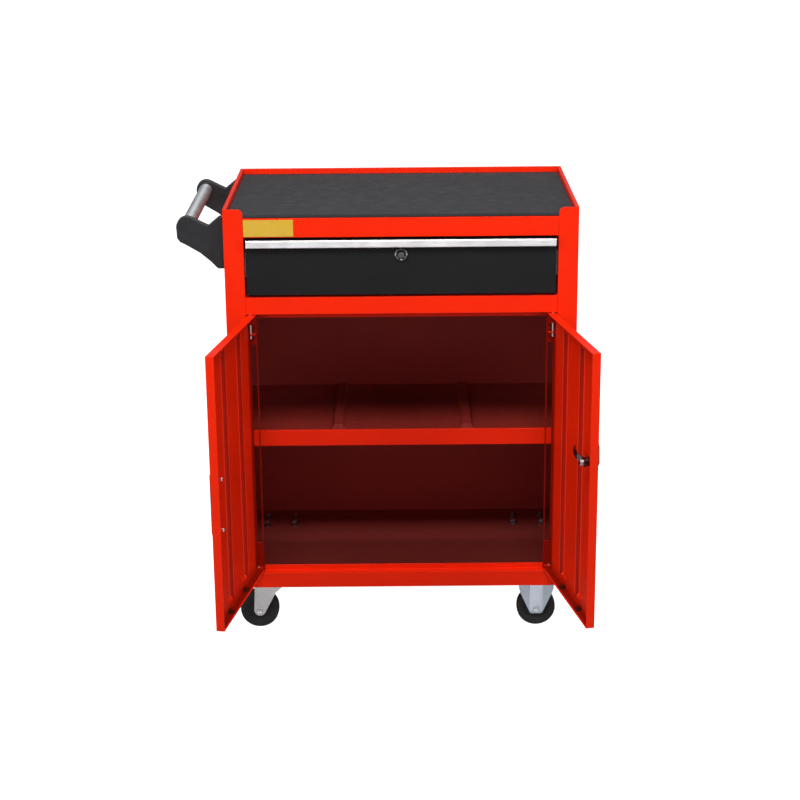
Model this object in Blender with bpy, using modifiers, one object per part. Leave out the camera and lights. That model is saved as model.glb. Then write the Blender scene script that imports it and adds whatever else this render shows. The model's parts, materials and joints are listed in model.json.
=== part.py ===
"""A rolling tool box: a steel cabinet on four castors, with a drawer, two doors and a push handle.

Metres, +Z up. The front faces -Y, and the push handle is on the -X side. The cabinet is drawn with its
front plane at y = 0 and its middle at x = 0; the empty "frame" then puts the middle of the footprint of
the whole object, doors open, at the origin.
"""
import math

import bmesh
import bpy
from mathutils import Vector

# ---- driving dimensions -------------------------------------------------------------------------------
WIDTH = 0.640            # outside of the side panels
DEPTH = 0.405            # front plane to back
HEIGHT = 0.838           # floor to the rim of the worktop
SHEET = 0.0012           # steel sheet
GAP = 0.0003             # clearance between pieces that touch
POST = 0.036             # width of a front post
POST_RETURN = 0.018      # depth of the post behind the front plane
HEM = 0.0065             # width of the folded rim round the worktop
FLANGE = 0.015           # folded edges behind and below

SILL_BOTTOM = 0.1042
SILL_TOP = 0.134
RAIL_BOTTOM = 0.6435
RAIL_TOP = 0.6747
HEADER_BOTTOM = 0.7861
HEADER_TOP = 0.8214
EAR_RADIUS = 0.010       # rounded inner corner at the top of a post
STOP_DEPTH = 0.0165      # how far behind the front plane the door stops stand
STOP_HEIGHT = 0.0105
MAT_THICKNESS = 0.0062

SHELF_TOP = 0.385
SHELF_FRONT = 0.105
SHELF_LIP = 0.031
SHELF_RIB_X = 0.124
SHELF_RIB_WIDTH = 0.026
SHELF_RIB_HEIGHT = 0.007

PLATE_LEFT = -0.2835
PLATE_SIZE = (0.090, 0.0008, 0.031)
PLATE_BOTTOM = 0.788

DRAWER_HALF = 0.2798     # half width of the drawer front
DRAWER_BOTTOM = RAIL_TOP + 0.005
DRAWER_TOP = HEADER_BOTTOM - 0.0053
DRAWER_FRONT_DEPTH = 0.016
DRAWER_BOX_HALF = 0.2708
DRAWER_BOX_BACK = 0.380
DRAWER_BOX_Z = (0.688, 0.775)
PULL_HALF = 0.2792
PULL_REACH = 0.012
PULL_DROP = 0.0142
PULL_WALL = 0.0016
SLIDE_Z = 0.731
SLIDE_SPAN = (0.022, 0.380)
LOCK_Z = 0.754
LOCK_HOLE = 0.0093

DOOR_BOTTOM = SILL_TOP + 0.002
DOOR_TOP = RAIL_BOTTOM - 0.002
DOOR_THICKNESS = 0.0152
DOOR_EDGE_GAP = 0.002    # between a door and its post
DOOR_MEETING_GAP = 0.003
PIN_FROM_EDGE = 0.0055
PIN_FROM_FACE = 0.0045
PIN_RADIUS = 0.0019
HINGE_WINDOW_END = 0.057  # from either end of a door to the window in its hinge edge
HINGE_WINDOW = (-0.0020, 0.0083)
PIN_SLOT = (-0.0031, 0.0046)
DOOR_OPEN = {"left": math.radians(100.7), "right": math.radians(101.6)}
RIB_FROM_FREE_EDGE = (0.092, 0.192)
RIB_WIDTH = 0.044
RIB_DEPTH = 0.0046
RIB_END = 0.012
PULL_FROM_FREE_EDGE = 0.062
PULL_CENTRES = 0.096
PULL_Z = 0.352
DOOR_PULL_REACH = 0.018
DOOR_LOCK_FROM_FREE_EDGE = 0.032
DOOR_LOCK_Z = 0.4375
CAM_REACH = 0.046
CAM_REST = math.radians(14)
SPINDLE_RADIUS = 0.0040
LEVER_THICKNESS = 0.0065
PLUG_DEPTH = 0.0042        # of the key plug in the lever

WHEEL_RADIUS = 0.0375
WHEEL_WIDTH = 0.024
SWIVEL_X = -0.2540
RIGID_X = 0.2565
CASTOR_FROM_FRONT = 0.060
CASTOR_FROM_BACK = 0.068
CASTOR_TRAIL = 0.027
CASTOR_PLATE = (0.076, 0.060, 0.0025)
BOLT_SPACING = (0.057, 0.038)
BOLT_RADIUS = 0.004
LEG_INSIDE = 0.0140      # half the space between the legs of a fork
LEG_SHEET = 0.0022
AXLE_RADIUS = 0.004

HANDLE_REACH = 0.0860    # side panel to the outermost point of a handle bracket
TUBE_OUT = 0.0675        # side panel to the centre of the handle tube
TUBE_Z = 0.8029
TUBE_RADIUS = 0.0125
BRACKET_INSET = 0.018
BRACKET_THICKNESS = 0.018

# ---- derived ------------------------------------------------------------------------------------------
HALF = WIDTH / 2
OPENING = HALF - POST                    # half width between the posts
BACK_INNER = DEPTH - 2 * SHEET - GAP     # inner face of the back panel
FLOOR_BOTTOM = SILL_BOTTOM + SHEET + GAP
FLOOR_TOP = FLOOR_BOTTOM + SHEET
MAT_BOTTOM = HEADER_TOP + GAP
MAT_TOP = MAT_BOTTOM + MAT_THICKNESS
HINGE_X = OPENING - DOOR_EDGE_GAP - PIN_FROM_EDGE
DOOR_LENGTH = OPENING - DOOR_EDGE_GAP - DOOR_MEETING_GAP / 2
FREE_EDGE = DOOR_LENGTH - PIN_FROM_EDGE  # free edge of a door from its hinge axis
PLATE_TOP = FLOOR_BOTTOM - GAP
CASTORS = {"front": CASTOR_FROM_FRONT, "rear": DEPTH - CASTOR_FROM_BACK}

# ---- colours ------------------------------------------------------------------------------------------
RED = ((0.62, 0.035, 0.008), 0.35, 0.0)
DARK_ENAMEL = ((0.017, 0.017, 0.019), 0.42, 0.0)
RUBBER = ((0.055, 0.056, 0.062), 0.85, 0.0)
TYRE = ((0.018, 0.018, 0.019), 0.70, 0.0)
PLASTIC = ((0.028, 0.028, 0.032), 0.55, 0.0)
ALUMINIUM = ((0.80, 0.81, 0.82), 0.30, 1.0)
ZINC = ((0.56, 0.57, 0.59), 0.35, 1.0)
CHROME = ((0.75, 0.76, 0.78), 0.12, 1.0)
YELLOW = ((0.80, 0.50, 0.06), 0.40, 0.0)


# ---- tools for building -------------------------------------------------------------------------------
def clear_scene():
    for obj in list(bpy.data.objects):
        bpy.data.objects.remove(obj, do_unlink=True)


def collection(name):
    made = bpy.data.collections.new(name)
    bpy.context.scene.collection.children.link(made)
    return made


def empty(name, location=(0, 0, 0), parent=None, turn=0.0):
    obj = bpy.data.objects.new(name, None)
    obj.empty_display_size = 0.02
    obj.location = location
    obj.rotation_euler = (0, 0, turn)
    obj.parent = parent
    PARTS.objects.link(obj)
    return obj


def material(name, finish):
    colour, roughness, metallic = finish
    made = bpy.data.materials.new(name)
    made.use_nodes = True
    shader = made.node_tree.nodes["Principled BSDF"]
    shader.inputs["Base Color"].default_value = (*colour, 1.0)
    shader.inputs["Roughness"].default_value = roughness
    shader.inputs["Metallic"].default_value = metallic
    made.diffuse_color = (*colour, 1.0)
    return made


def add(name, mesh, finish, parent, location=(0, 0, 0), rotation=(0, 0, 0)):
    """A part of the object when it has a finish, otherwise a hidden cutter or building piece."""
    obj = bpy.data.objects.new(name, mesh)
    obj.location = location
    obj.rotation_euler = rotation
    obj.parent = parent
    if finish is None:
        TOOLS.objects.link(obj)
        obj.hide_render = True
        obj.display_type = 'WIRE'
    else:
        PARTS.objects.link(obj)
        mesh.materials.append(material(name, finish))
    return obj


def mesh_from(bm, name):
    mesh = bpy.data.meshes.new(name)
    bm.to_mesh(mesh)
    bm.free()
    return mesh


def block(name, low, high, finish, parent, open_sides=()):
    """A box between two corners; open_sides names the faces left off, such as "+Z"."""
    low, high = Vector(low), Vector(high)
    size = high - low
    bm = bmesh.new()
    bmesh.ops.create_cube(bm, size=1.0)
    bmesh.ops.scale(bm, vec=size, verts=bm.verts)
    for side in open_sides:
        axis = "XYZ".index(side[1])
        sign = 1 if side[0] == "+" else -1
        faces = [f for f in bm.faces if f.normal[axis] * sign > 0.9]
        bmesh.ops.delete(bm, geom=faces, context='FACES_ONLY')
    return add(name, mesh_from(bm, name), finish, parent, (low + high) / 2)


def thicken(obj, thickness=SHEET, outward=False):
    solidify = obj.modifiers.new("sheet", 'SOLIDIFY')
    solidify.thickness = thickness
    solidify.offset = 1.0 if outward else -1.0
    solidify.use_even_offset = True
    return obj


def folded(name, outline, axis, span, finish, parent, flip=False):
    """Sheet folded along an open outline and run straight along one axis."""
    order = {"X": (2, 0, 1), "Y": (0, 2, 1), "Z": (0, 1, 2)}[axis]

    def place(point, along):
        values = (point[0], point[1], along)
        return Vector([values[i] for i in order])

    bm = bmesh.new()
    start = [bm.verts.new(place(point, span[0])) for point in outline]
    edges = [bm.edges.new(pair) for pair in zip(start, start[1:])]
    result = bmesh.ops.extrude_edge_only(bm, edges=edges)
    moved = [item for item in result["geom"] if isinstance(item, bmesh.types.BMVert)]
    shift = place((0, 0), span[1]) - place((0, 0), span[0])
    bmesh.ops.translate(bm, vec=shift, verts=moved)
    bm.normal_update()
    if flip:
        bmesh.ops.reverse_faces(bm, faces=bm.faces)
    return thicken(add(name, mesh_from(bm, name), finish, parent))


def plate(name, outline, thickness, finish, parent, location=(0, 0, 0), rotation=(0, 0, 0)):
    """A flat outline in its own XY plane, with its thickness half above and half below."""
    curve = bpy.data.curves.new(name, 'CURVE')
    curve.dimensions = '2D'
    curve.fill_mode = 'BOTH'
    curve.extrude = thickness / 2
    spline = curve.splines.new('POLY')
    spline.points.add(len(outline) - 1)
    for point, (x, y) in zip(spline.points, outline):
        point.co = (x, y, 0, 1)
    spline.use_cyclic_u = True
    drawn = bpy.data.objects.new(name + "_outline", curve)
    TOOLS.objects.link(drawn)
    mesh = bpy.data.meshes.new_from_object(drawn.evaluated_get(bpy.context.evaluated_depsgraph_get()))
    bpy.data.objects.remove(drawn, do_unlink=True)
    bpy.data.curves.remove(curve)
    bm = bmesh.new()
    bm.from_mesh(mesh)
    bmesh.ops.remove_doubles(bm, verts=bm.verts, dist=0.00001)
    bmesh.ops.recalc_face_normals(bm, faces=bm.faces)
    bm.to_mesh(mesh)
    bm.free()
    mesh.materials.clear()
    return add(name, mesh, finish, parent, location, rotation)


def turned(name, profile, steps, finish, parent, location=(0, 0, 0), rotation=(0, 0, 0), ring=False):
    """A profile of (radius, height) points, top to bottom, turned about the part's own Z axis."""
    mesh = bpy.data.meshes.new(name)
    edges = [(i, i + 1) for i in range(len(profile) - 1)]
    if ring:
        edges.append((len(profile) - 1, 0))
    mesh.from_pydata([(radius, 0, height) for radius, height in profile], edges, [])
    obj = add(name, mesh, finish, parent, location, rotation)
    screw = obj.modifiers.new("turn", 'SCREW')
    screw.steps = steps
    screw.render_steps = steps
    screw.use_merge_vertices = True
    screw.merge_threshold = 0.00001
    screw.use_smooth_shade = False
    if finish is not None:
        smooth_round(obj)
    return obj


def smooth_round(obj):
    """Smooth shading that keeps the turned edges sharp."""
    mesh = bpy.data.meshes.new_from_object(obj.evaluated_get(bpy.context.evaluated_depsgraph_get()))
    obj.modifiers.clear()
    obj.data = mesh
    mesh.shade_smooth()
    mesh.set_sharp_from_angle(angle=math.radians(35))


def rod(name, radius, start, end, steps, finish, parent):
    """A plain round bar between two points that differ along one axis."""
    start, end = Vector(start), Vector(end)
    bm = bmesh.new()
    length = (end - start).length
    bmesh.ops.create_cone(bm, cap_ends=True, segments=steps, radius1=radius, radius2=radius, depth=length)
    turn = (end - start).to_track_quat('Z', 'Y').to_euler()
    obj = add(name, mesh_from(bm, name), finish, parent, (start + end) / 2, turn)
    if finish is not None:
        obj.data.shade_smooth()
        obj.data.set_sharp_from_angle(angle=math.radians(35))
    return obj


def combine(obj, tool, operation):
    boolean = obj.modifiers.new(operation.lower(), 'BOOLEAN')
    boolean.operation = operation
    boolean.solver = 'EXACT'
    boolean.object = tool
    return obj


def join(obj, tool):
    return combine(obj, tool, 'UNION')


def cut(obj, tool):
    return combine(obj, tool, 'DIFFERENCE')


def drill(obj, radius, start, end, parent, steps=12):
    return cut(obj, rod(obj.name + "_hole", radius, start, end, steps, None, parent))


def bevel(obj, width, segments=2, angle=40):
    made = obj.modifiers.new("edges", 'BEVEL')
    made.width = width
    made.segments = segments
    made.limit_method = 'ANGLE'
    made.angle_limit = math.radians(angle)
    return obj


def arc(centre, radius, start, end, steps):
    """Points along a circle from one angle to another, in degrees."""
    points = []
    for i in range(steps + 1):
        angle = math.radians(start + (end - start) * i / steps)
        points.append((centre[0] + radius * math.cos(angle), centre[1] + radius * math.sin(angle)))
    return points


# ---- cabinet ------------------------------------------------------------------------------------------
def side_block(name, side, low, high):
    """A cutter or building block on one side, given by its corners on the +X side."""
    xs = sorted((side * low[0], side * high[0]))
    return block(name, (xs[0], low[1], low[2]), (xs[1], high[1], high[2]), None, FRAME)


def side_panel(name, side):
    """One folded sheet: rear return, side, and front post, with a hem on top and an ear at the front."""
    outline = [(HALF - FLANGE, DEPTH), (HALF, DEPTH), (HALF, 0), (OPENING, 0), (OPENING, POST_RETURN)]
    outline = [(side * x, y) for x, y in outline]
    panel = folded(name, outline, "Z", (SILL_BOTTOM, HEIGHT), RED, FRAME, flip=side < 0)
    above = HEIGHT + 0.002
    cut(panel, side_block("behind_ear", side, (OPENING - 0.002, SHEET, HEADER_TOP),
                          (HALF - HEM, POST_RETURN + 0.002, above)))
    cut(panel, side_block("beside_back_hem", side, (HALF - FLANGE - 0.002, DEPTH - HEM, HEADER_TOP),
                          (HALF - HEM, DEPTH + 0.002, above)))
    corner = [(OPENING - 0.002, above), (OPENING - 0.002, HEIGHT - EAR_RADIUS)]
    corner += arc((OPENING + EAR_RADIUS, HEIGHT - EAR_RADIUS), EAR_RADIUS, 180, 90, 5)
    corner += [(OPENING + EAR_RADIUS, above)]
    corner = [(side * x, z) for x, z in corner]
    cut(panel, plate(name + "_corner", corner, 0.01, None, FRAME, (0, 0, 0), (math.radians(90), 0, 0)))
    edge = SHEET / 2
    join(panel, side_block(name + "_hem", side, (HALF - HEM, edge, HEADER_TOP),
                           (HALF - edge, DEPTH - edge, HEIGHT - GAP)))
    join(panel, side_block(name + "_flange", side, (HALF - FLANGE, POST_RETURN + 0.0015, SILL_BOTTOM + GAP),
                           (HALF - edge, BACK_INNER - GAP, SILL_BOTTOM + SHEET)))
    return panel


def back_panel():
    half = HALF - HEM - GAP
    low, high = (-half, BACK_INNER, FLOOR_BOTTOM), (half, BACK_INNER + SHEET, HEIGHT)
    panel = block("back_panel", low, high, RED, FRAME)
    low = (-half, DEPTH - HEM, HEADER_TOP + GAP)
    return join(panel, block("back_hem", low, (half, DEPTH, HEIGHT), None, FRAME))


def castor_bolts(x, y):
    """The four bolt centres of a castor plate at (x, y)."""
    dx, dy = BOLT_SPACING[0] / 2, BOLT_SPACING[1] / 2
    return [(x + sx * dx, y + sy * dy) for sx in (-1, 1) for sy in (-1, 1)]


def floor_panel():
    half = HALF - SHEET - GAP
    low = (-half, POST_RETURN + 0.0015, FLOOR_BOTTOM)
    panel = block("floor_panel", low, (half, BACK_INNER - GAP, FLOOR_TOP), RED, FRAME)
    for x in (SWIVEL_X, RIGID_X):
        for y in CASTORS.values():
            for bx, by in castor_bolts(x, y):
                start, end = (bx, by, FLOOR_BOTTOM - 0.01), (bx, by, FLOOR_TOP + 0.01)
                drill(panel, BOLT_RADIUS + GAP, start, end, FRAME, 10)
    return panel


def rail(name, outline):
    return folded(name, outline, "X", (-OPENING + GAP, OPENING - GAP), RED, FRAME)


def rails():
    """Header, middle rail and sill, each one folded sheet between the posts."""
    header = [(POST_RETURN, HEADER_BOTTOM), (0, HEADER_BOTTOM), (0, HEADER_TOP), (POST_RETURN, HEADER_TOP)]
    rail("header_rail", header)
    middle = [(STOP_DEPTH, RAIL_BOTTOM - STOP_HEIGHT), (STOP_DEPTH, RAIL_BOTTOM), (0, RAIL_BOTTOM)]
    middle += [(0, RAIL_TOP), (0.020, RAIL_TOP)]
    middle = rail("middle_rail", middle)
    sill = [(0.025, SILL_BOTTOM), (0, SILL_BOTTOM), (0, SILL_TOP), (STOP_DEPTH, SILL_TOP)]
    sill += [(STOP_DEPTH, SILL_TOP + STOP_HEIGHT)]
    sill = rail("sill_rail", sill)
    for x in (-HINGE_X, HINGE_X):
        for obj, z in ((middle, RAIL_BOTTOM), (sill, SILL_TOP)):
            drill(obj, PIN_RADIUS + GAP, (x, PIN_FROM_FACE, z - 0.006), (x, PIN_FROM_FACE, z + 0.006), FRAME)


def worktop():
    half = HALF - HEM - GAP
    front = POST_RETURN + GAP
    low = (-half, front, HEADER_TOP - SHEET)
    block("worktop_panel", low, (half, DEPTH - HEM - GAP, HEADER_TOP), RED, FRAME)
    low = (-half, SHEET + GAP, MAT_BOTTOM)
    mat = block("rubber_mat", low, (half, DEPTH - HEM - GAP, MAT_TOP), RUBBER, FRAME)
    bevel(mat, 0.001, 1)


def shelf():
    half = HALF - SHEET - 2 * GAP
    low = (-half, SHELF_FRONT, SHELF_TOP - SHELF_LIP)
    high = (half, BACK_INNER - GAP, SHELF_TOP)
    panel = block("shelf", low, high, RED, FRAME, open_sides=("-Z", "+Y"))
    thicken(panel)
    for side in (-1, 1):
        x = side * SHELF_RIB_X
        rib = block("shelf_rib", (x - SHELF_RIB_WIDTH / 2, SHELF_FRONT + 0.012, SHELF_TOP - SHEET / 2),
                    (x + SHELF_RIB_WIDTH / 2, BACK_INNER - 0.012, SHELF_TOP + SHELF_RIB_HEIGHT), None, FRAME)
        taper(rib, 0.6, 0.985)
        join(panel, rib)
    return panel


def taper(obj, across, along):
    """Narrow the top of a block to these fractions of its width and length."""
    top = max(vertex.co.z for vertex in obj.data.vertices)
    for vertex in obj.data.vertices:
        if vertex.co.z > top - 0.00001:
            vertex.co.x *= across
            vertex.co.y *= along


def name_plate():
    low = Vector((PLATE_LEFT, -GAP - PLATE_SIZE[1], PLATE_BOTTOM))
    high = Vector((PLATE_LEFT + PLATE_SIZE[0], -GAP, PLATE_BOTTOM + PLATE_SIZE[2]))
    block("name_plate", low, high, YELLOW, FRAME)


# ---- push handle --------------------------------------------------------------------------------------
def handle_outline():
    """A bracket seen from the front: distance out from the side panel, and height."""
    end_radius = HANDLE_REACH - TUBE_OUT
    points = [(GAP, 0.7257), (0.0128, 0.7257), (0.0266, 0.7400), (0.0443, 0.7551), (0.0700, 0.7705)]
    points += [(0.0800, 0.7755), (0.0850, 0.7825)]
    points += arc((TUBE_OUT, TUBE_Z), end_radius, 0, 115, 8)
    points += [(0.0440, 0.8115), (0.0285, 0.8040), (0.0090, 0.8203), (GAP, 0.8213)]
    return [(-HALF - out, z) for out, z in points]


def push_handle():
    up = (math.radians(90), 0, 0)
    half = BRACKET_THICKNESS / 2
    places = {"front": BRACKET_INSET + half, "rear": DEPTH - BRACKET_INSET - half}
    socket_depth = 0.006
    for end, y in places.items():
        bracket = plate("handle_bracket_" + end, handle_outline(), BRACKET_THICKNESS, PLASTIC, FRAME,
                        (0, y, 0), up)
        inner = y + half if end == "front" else y - half
        deep = inner - socket_depth if end == "front" else inner + socket_depth
        past = inner + 0.01 if end == "front" else inner - 0.01
        x = -HALF - TUBE_OUT
        bevel(bracket, 0.003, 2)
        drill(bracket, TUBE_RADIUS + GAP, (x, deep, TUBE_Z), (x, past, TUBE_Z), FRAME, 24)
    reach = socket_depth - GAP
    start = (-HALF - TUBE_OUT, places["front"] + half - reach, TUBE_Z)
    end = (-HALF - TUBE_OUT, places["rear"] - half + reach, TUBE_Z)
    rod("handle_tube", TUBE_RADIUS, start, end, 24, ALUMINIUM, FRAME)


# ---- drawer -------------------------------------------------------------------------------------------
def channel(name, half_height, web_x, open_x, span, parent):
    """A slide member: a thin channel with its web at web_x and its flanges reaching to open_x."""
    outline = [(open_x, SLIDE_Z - half_height), (web_x, SLIDE_Z - half_height)]
    outline += [(web_x, SLIDE_Z + half_height), (open_x, SLIDE_Z + half_height)]
    return folded(name, outline, "Y", span, ZINC, parent, flip=web_x < open_x)


def drawer_slides(side, word, drawer):
    """Outer member on the cabinet, middle member on its own carriage, inner member on the drawer."""
    outer_x = OPENING - GAP
    carriage = empty("slide_carriage_" + word, (0, 0, 0), FRAME)
    outer = channel("drawer_slide_outer_" + word, 0.0225, side * outer_x, side * (DRAWER_BOX_HALF + 0.0012),
                    SLIDE_SPAN, FRAME)
    web, open_edge = side * (outer_x - 0.0022), side * (DRAWER_BOX_HALF + 0.0022)
    channel("drawer_slide_middle_" + word, 0.0195, web, open_edge, SLIDE_SPAN, carriage)
    channel("drawer_slide_inner_" + word, 0.0145, side * (DRAWER_BOX_HALF + GAP), side * (outer_x - 0.0040),
            SLIDE_SPAN, drawer)
    for y in (SLIDE_SPAN[0] + 0.006, SLIDE_SPAN[1] - 0.030):
        xs = sorted((side * (outer_x - SHEET / 2), side * (HALF - SHEET - GAP)))
        low = (xs[0], y, SLIDE_Z - 0.012)
        join(outer, block("slide_standoff", low, (xs[1], y + 0.020, SLIDE_Z + 0.012), None, FRAME))


def drawer_front(drawer):
    low = (-DRAWER_HALF, 0, DRAWER_BOTTOM)
    front = block("drawer_front", low, (DRAWER_HALF, DRAWER_FRONT_DEPTH, DRAWER_TOP), DARK_ENAMEL, drawer,
                  open_sides=("+Y",))
    thicken(front)
    drill(front, LOCK_HOLE, (0, -0.01, LOCK_Z), (0, 0.01, LOCK_Z), drawer, 20)


def drawer_box(drawer):
    """Floor and sides of one folded sheet, closed by a liner behind the drawer front and a back plate."""
    front = DRAWER_FRONT_DEPTH + GAP
    low = (-DRAWER_BOX_HALF, front, DRAWER_BOX_Z[0])
    high = (DRAWER_BOX_HALF, DRAWER_BOX_BACK, DRAWER_BOX_Z[1])
    thicken(block("drawer_box", low, high, DARK_ENAMEL, drawer, open_sides=("+Z", "-Y", "+Y")))
    half = DRAWER_BOX_HALF - SHEET - GAP
    foot = DRAWER_BOX_Z[0] + SHEET + GAP
    low, high = (-half, front, foot), (half, front + SHEET, DRAWER_BOX_Z[1])
    liner = block("drawer_liner", low, high, DARK_ENAMEL, drawer)
    drill(liner, LOCK_HOLE, (0, 0.010, LOCK_Z), (0, 0.022, LOCK_Z), drawer, 20)
    block("drawer_back", (-half, DRAWER_BOX_BACK - SHEET, foot), (half, DRAWER_BOX_BACK, DRAWER_BOX_Z[1]),
          DARK_ENAMEL, drawer)


def drawer_pull(drawer):
    """An extruded strip along the top of the drawer front, with a lip to hook the fingers behind."""
    top = DRAWER_TOP + GAP + PULL_WALL
    outline = [(0.010, top), (-PULL_REACH + 0.002, top), (-PULL_REACH, top - 0.002)]
    outline += [(-PULL_REACH, top - PULL_DROP + 0.0015), (-PULL_REACH + 0.0025, top - PULL_DROP)]
    strip = folded("drawer_pull", outline, "X", (-PULL_HALF, PULL_HALF), ALUMINIUM, drawer, flip=True)
    strip.modifiers["sheet"].thickness = PULL_WALL


def drawer_lock(drawer):
    to_front = (math.radians(90), 0, 0)
    body = [(0.0058, 0.0040), (0.0105, 0.0040), (0.0118, 0.0026), (0.0118, GAP)]
    body += [(0.0090, GAP), (0.0090, -0.0215), (0.0058, -0.0215)]
    turned("drawer_lock_body", body, 24, CHROME, drawer, (0, 0, LOCK_Z), to_front, ring=True)
    axis = empty("drawer_lock_axis", (0, 0, LOCK_Z), drawer)
    profile = [(0, 0.0044), (0.0050, 0.0044), (0.0055, 0.0039), (0.0055, -0.0224), (0, -0.0224)]
    plug = turned("drawer_lock_plug", profile, 20, CHROME, axis, (0, 0, 0), to_front)
    keyway = block("drawer_keyway", (-0.0006, -0.0060, -0.0032), (0.0006, -0.0005, 0.0032), None, axis)
    cut(plug, keyway)
    cam = [(0, -0.006)] + arc((0.037, 0), 0.006, -90, 90, 6) + arc((0, 0), 0.006, 90, 250, 6)
    plate("drawer_lock_cam", cam, 0.002, ZINC, axis, (0, 0.0224 + GAP + 0.001, 0), to_front)


def drawer():
    carriage = empty("drawer_carriage", (0, 0, 0), FRAME)
    drawer_front(carriage)
    drawer_box(carriage)
    drawer_pull(carriage)
    drawer_lock(carriage)
    drawer_slides(-1, "left", carriage)
    drawer_slides(1, "right", carriage)


# ---- doors --------------------------------------------------------------------------------------------
def door_panel(name, side, hinge):
    """A pan: the skin towards -Y, its folded edges behind, two pressed ribs standing out of the skin."""
    edge, free = side * PIN_FROM_EDGE, -side * FREE_EDGE
    xs = sorted((edge, free))
    face = -PIN_FROM_FACE
    low = (xs[0], face, DOOR_BOTTOM)
    high = (xs[1], face + DOOR_THICKNESS, DOOR_TOP)
    door = thicken(block(name, low, high, RED, hinge, open_sides=("+Y",)))
    for from_free in RIB_FROM_FREE_EDGE:
        x = free + side * from_free
        for inner in (False, True):
            depth = RIB_DEPTH - SHEET if inner else RIB_DEPTH
            half = RIB_WIDTH / 2 - (SHEET if inner else 0)
            back = SHEET + 0.002 if inner else SHEET / 2
            rib = door_rib(x, face - depth, face + back, half, hinge)
            combine(door, rib, 'DIFFERENCE' if inner else 'UNION')
    return door


def door_rib(x, front, back, half, hinge):
    """A bar along the door, narrower towards its front."""
    end = RIB_END + FLANGE / 3
    length = DOOR_TOP - DOOR_BOTTOM - 2 * end
    bm = bmesh.new()
    bmesh.ops.create_cube(bm, size=1.0)
    bmesh.ops.scale(bm, vec=(2 * half, back - front, length), verts=bm.verts)
    for vertex in bm.verts:
        if vertex.co.y < 0:
            vertex.co.x *= 0.62
            vertex.co.z *= 0.975
    middle = (x, (front + back) / 2, (DOOR_BOTTOM + DOOR_TOP) / 2)
    return add("door_rib", mesh_from(bm, "door_rib"), None, hinge, middle)


def door_pins(word, side, door, hinge):
    """Pivot pins in guides at two corners, the slot that shows the upper pin, and the long window."""
    back = DOOR_THICKNESS - PIN_FROM_FACE
    xs = sorted((side * (PIN_FROM_EDGE - SHEET / 2), -side * 0.0048))
    skin = -PIN_FROM_FACE + SHEET / 2
    guides = ((DOOR_TOP - 0.018, DOOR_TOP - SHEET / 2), (DOOR_TOP - 0.0375, DOOR_TOP - 0.036),
              (DOOR_BOTTOM + SHEET / 2, DOOR_BOTTOM + 0.008))
    for low, high in guides:
        join(door, block("pin_guide", (xs[0], skin, low), (xs[1], back - 0.002, high), None, hinge))
    for low, high in ((DOOR_TOP - 0.040, DOOR_TOP + 0.004), (DOOR_BOTTOM - 0.004, DOOR_BOTTOM + 0.012)):
        drill(door, PIN_RADIUS + GAP, (0, 0, low), (0, 0, high), hinge)
    xs = sorted((side * (PIN_FROM_EDGE - SHEET - 0.0004), side * (PIN_FROM_EDGE + 0.002)))
    low = (xs[0], PIN_SLOT[0], DOOR_TOP - 0.046)
    cut(door, block("pin_slot", low, (xs[1], PIN_SLOT[1], DOOR_TOP - 0.0185), None, hinge))
    low = (xs[0], HINGE_WINDOW[0], DOOR_BOTTOM + HINGE_WINDOW_END)
    cut(door, block("hinge_window", low, (xs[1], HINGE_WINDOW[1], DOOR_TOP - HINGE_WINDOW_END), None, hinge))
    spans = {"top": (DOOR_TOP - 0.045, RAIL_BOTTOM + 0.005), "bottom": (SILL_TOP - 0.005, DOOR_BOTTOM + 0.011)}
    for end, (low, high) in spans.items():
        rod(word + "_door_" + end + "_pin", PIN_RADIUS, (0, 0, low), (0, 0, high), 12, ZINC, hinge)


def left_door():
    hinge = empty("left_door_hinge", (-HINGE_X, PIN_FROM_FACE, 0), FRAME, -DOOR_OPEN["left"])
    door = door_panel("left_door_panel", -1, hinge)
    door_pins("left", -1, door, hinge)
    x = FREE_EDGE - PULL_FROM_FREE_EDGE
    face = -PIN_FROM_FACE
    out = face - GAP
    half = PULL_CENTRES / 2
    grip = block("left_door_pull", (x - 0.006, out - DOOR_PULL_REACH, PULL_Z - half - 0.008),
                 (x + 0.006, out - DOOR_PULL_REACH + 0.006, PULL_Z + half + 0.008), PLASTIC, hinge)
    for word, z in (("upper", PULL_Z + half), ("lower", PULL_Z - half)):
        low = (x - 0.006, out - DOOR_PULL_REACH + 0.003, z - 0.008)
        join(grip, block("pull_foot", low, (x + 0.006, out, z + 0.008), None, hinge))
        drill(door, 0.0025, (x, face - 0.005, z), (x, face + 0.005, z), hinge)
    bevel(grip, 0.0015, 1)
    for word, z in (("upper", PULL_Z + half), ("lower", PULL_Z - half)):
        drill(grip, 0.0025, (x, out - 0.011, z), (x, out + 0.002, z), hinge)
        head = SHEET + GAP
        profile = [(0, head + 0.0022), (0.0026, head + 0.0022), (0.0038, head + 0.0010), (0.0038, head)]
        profile += [(0.0020, head), (0.0020, -0.0095), (0, -0.0095)]
        turned("pull_screw_" + word, profile, 12, ZINC, hinge, (x, face, z), (math.radians(-90), 0, 0))


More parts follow.
